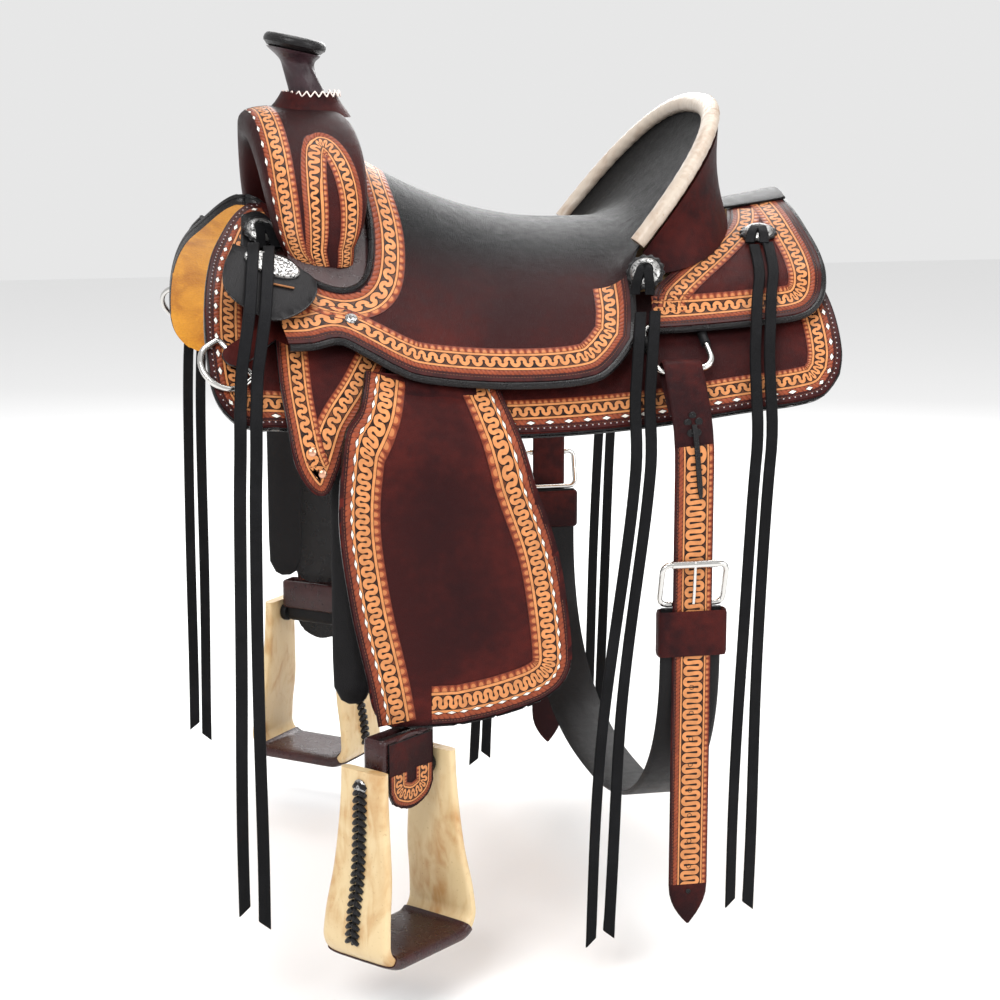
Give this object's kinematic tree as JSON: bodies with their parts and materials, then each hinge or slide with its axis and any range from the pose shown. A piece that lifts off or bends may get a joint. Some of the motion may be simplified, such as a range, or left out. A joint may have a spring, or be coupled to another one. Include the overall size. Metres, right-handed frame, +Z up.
{
  "type": "western saddle",
  "caption": "Western stock saddle with swell fork, horn, high cantle, skirts, fenders with stirrups, flank cinch and saddle strings.",
  "frame": {"origin": "on the horse's back line under the middle of the seat, in the plane of symmetry", "axes": "+X rearwards, +Y to the off (right-hand) side, +Z up"},
  "size_m": [0.6881, 0.8224, 0.9453],
  "materials": {
    "burgundy_leather": "oiled oxblood leather, low gloss",
    "black_leather": "black leather, low gloss",
    "tooled_leather": "tooled russet and burgundy leather",
    "suede_lining": "golden suede",
    "rawhide": "pale laced rawhide",
    "amber_rawhide": "amber rawhide over wood",
    "nickel": "polished nickel",
    "tree_wood": "wood under rawhide, hidden"
  },
  "bodies": {
    "saddle": {"tree_fork": "tree_wood", "horn_post": "black_leather", "horn_cap": "black_leather", "ground_seat": "tree_wood", "fork_cover": "burgundy_leather", "seat": "black_leather", "cantle_back": "burgundy_leather", "cantle_binding": "rawhide", "jockey_bridge": "black_leather", "tree_bar_near": "tree_wood", "tree_bar_off": "tree_wood", "rear_jockey_near": "burgundy_leather", "rear_jockey_off": "burgundy_leather", "skirt_near": "burgundy_leather", "skirt_off": "burgundy_leather", "skirt_lining_near": "suede_lining", "skirt_lining_off": "suede_lining", "rigging_leather_near": "tooled_leather", "rigging_leather_off": "tooled_leather", "rear_dee_near": "nickel", "rear_dee_off": "nickel", "rope_tab_near": "black_leather", "rope_tab_off": "black_leather", "concho_front_near": "nickel", "concho_front_off": "nickel", "concho_cantle_near": "nickel", "concho_cantle_off": "nickel", "concho_rear_near": "nickel", "concho_rear_off": "nickel", "lace_front_near": "black_leather", "lace_front_off": "black_leather", "lace_cantle_near": "black_leather", "lace_cantle_off": "black_leather", "lace_rear_near": "black_leather", "lace_rear_off": "black_leather"},
    "leather_near": {"stirrup_leather_near": "burgundy_leather"},
    "fender_near": {"fender_near": "burgundy_leather", "stirrup_loop_near": "burgundy_leather", "hobble_near": "burgundy_leather"},
    "stirrup_near": {"stirrup_near": "amber_rawhide", "stirrup_bolt_near": "nickel", "tread_near": "burgundy_leather"},
    "front_dee_near": {"front_dee_near": "nickel"},
    "latigo_near": {"latigo_near": "burgundy_leather"},
    "leather_off": {"stirrup_leather_off": "burgundy_leather"},
    "fender_off": {"fender_off": "burgundy_leather", "stirrup_loop_off": "burgundy_leather", "hobble_off": "burgundy_leather"},
    "stirrup_off": {"stirrup_off": "amber_rawhide", "stirrup_bolt_off": "nickel", "tread_off": "burgundy_leather"},
    "front_dee_off": {"front_dee_off": "nickel"},
    "latigo_off": {"latigo_off": "burgundy_leather"},
    "flank": {"billet_near": "tooled_leather", "billet_off": "tooled_leather", "flank_buckle_near": "nickel", "flank_buckle_off": "nickel", "flank_keeper_near": "black_leather", "flank_keeper_off": "black_leather", "flank_cinch": "black_leather"}
  },
  "joints": [
    {"name": "stirrup_swing_near", "type": "hinge", "parent": "saddle", "child": "leather_near", "pos_m": [-0.197, -0.191, -0.0234], "axis": [-0.2425, 0.7849, -0.5702], "range_deg": [-8, 22], "deforming": ["lace_front_near", "lace_cantle_near"]},
    {"name": "fender_lift_near", "type": "hinge", "parent": "leather_near", "child": "fender_near", "pos_m": [-0.12, -0.29856, -0.13631], "axis": [-0.9943, 0, 0.1069], "range_deg": [0, 80]},
    {"name": "stirrup_pivot_near", "type": "hinge", "parent": "fender_near", "child": "stirrup_near", "pos_m": [-0.175, -0.33, -0.4945], "axis": [0.766, 0.6428, 0], "range_deg": [-25, 25]},
    {"name": "front_dee_flop_near", "type": "hinge", "parent": "saddle", "child": "front_dee_near", "pos_m": [-0.325, -0.26839, -0.0743], "axis": [-0.6198, 0.4076, 0.6706], "range_deg": [0, 100]},
    {"name": "latigo_swing_near", "type": "hinge", "parent": "saddle", "child": "latigo_near", "pos_m": [-0.215, -0.2911, -0.17798], "axis": [0, 1, 0], "range_deg": [-12, 12]},
    {"name": "stirrup_swing_off", "type": "hinge", "parent": "saddle", "child": "leather_off", "pos_m": [-0.197, 0.191, -0.0234], "axis": [0.2425, 0.7849, 0.5702], "range_deg": [-8, 22], "deforming": ["lace_front_off", "lace_cantle_off"]},
    {"name": "fender_lift_off", "type": "hinge", "parent": "leather_off", "child": "fender_off", "pos_m": [-0.12, 0.29856, -0.13631], "axis": [0.9943, 0, -0.1069], "range_deg": [0, 80]},
    {"name": "stirrup_pivot_off", "type": "hinge", "parent": "fender_off", "child": "stirrup_off", "pos_m": [-0.175, 0.33, -0.4945], "axis": [0.766, -0.6428, 0], "range_deg": [-25, 25]},
    {"name": "front_dee_flop_off", "type": "hinge", "parent": "saddle", "child": "front_dee_off", "pos_m": [-0.325, 0.26839, -0.0743], "axis": [0.6198, 0.4076, -0.6706], "range_deg": [0, 100]},
    {"name": "latigo_swing_off", "type": "hinge", "parent": "saddle", "child": "latigo_off", "pos_m": [-0.215, 0.2911, -0.17798], "axis": [0, 1, 0], "range_deg": [-12, 12]},
    {"name": "flank_swing", "type": "hinge", "parent": "saddle", "child": "flank", "pos_m": [0.134, 0, -0.09969], "axis": [0, 1, 0], "range_deg": [-8, 5], "deforming": ["lace_cantle_near", "lace_cantle_off", "lace_rear_near", "lace_rear_off"]}
  ]
}
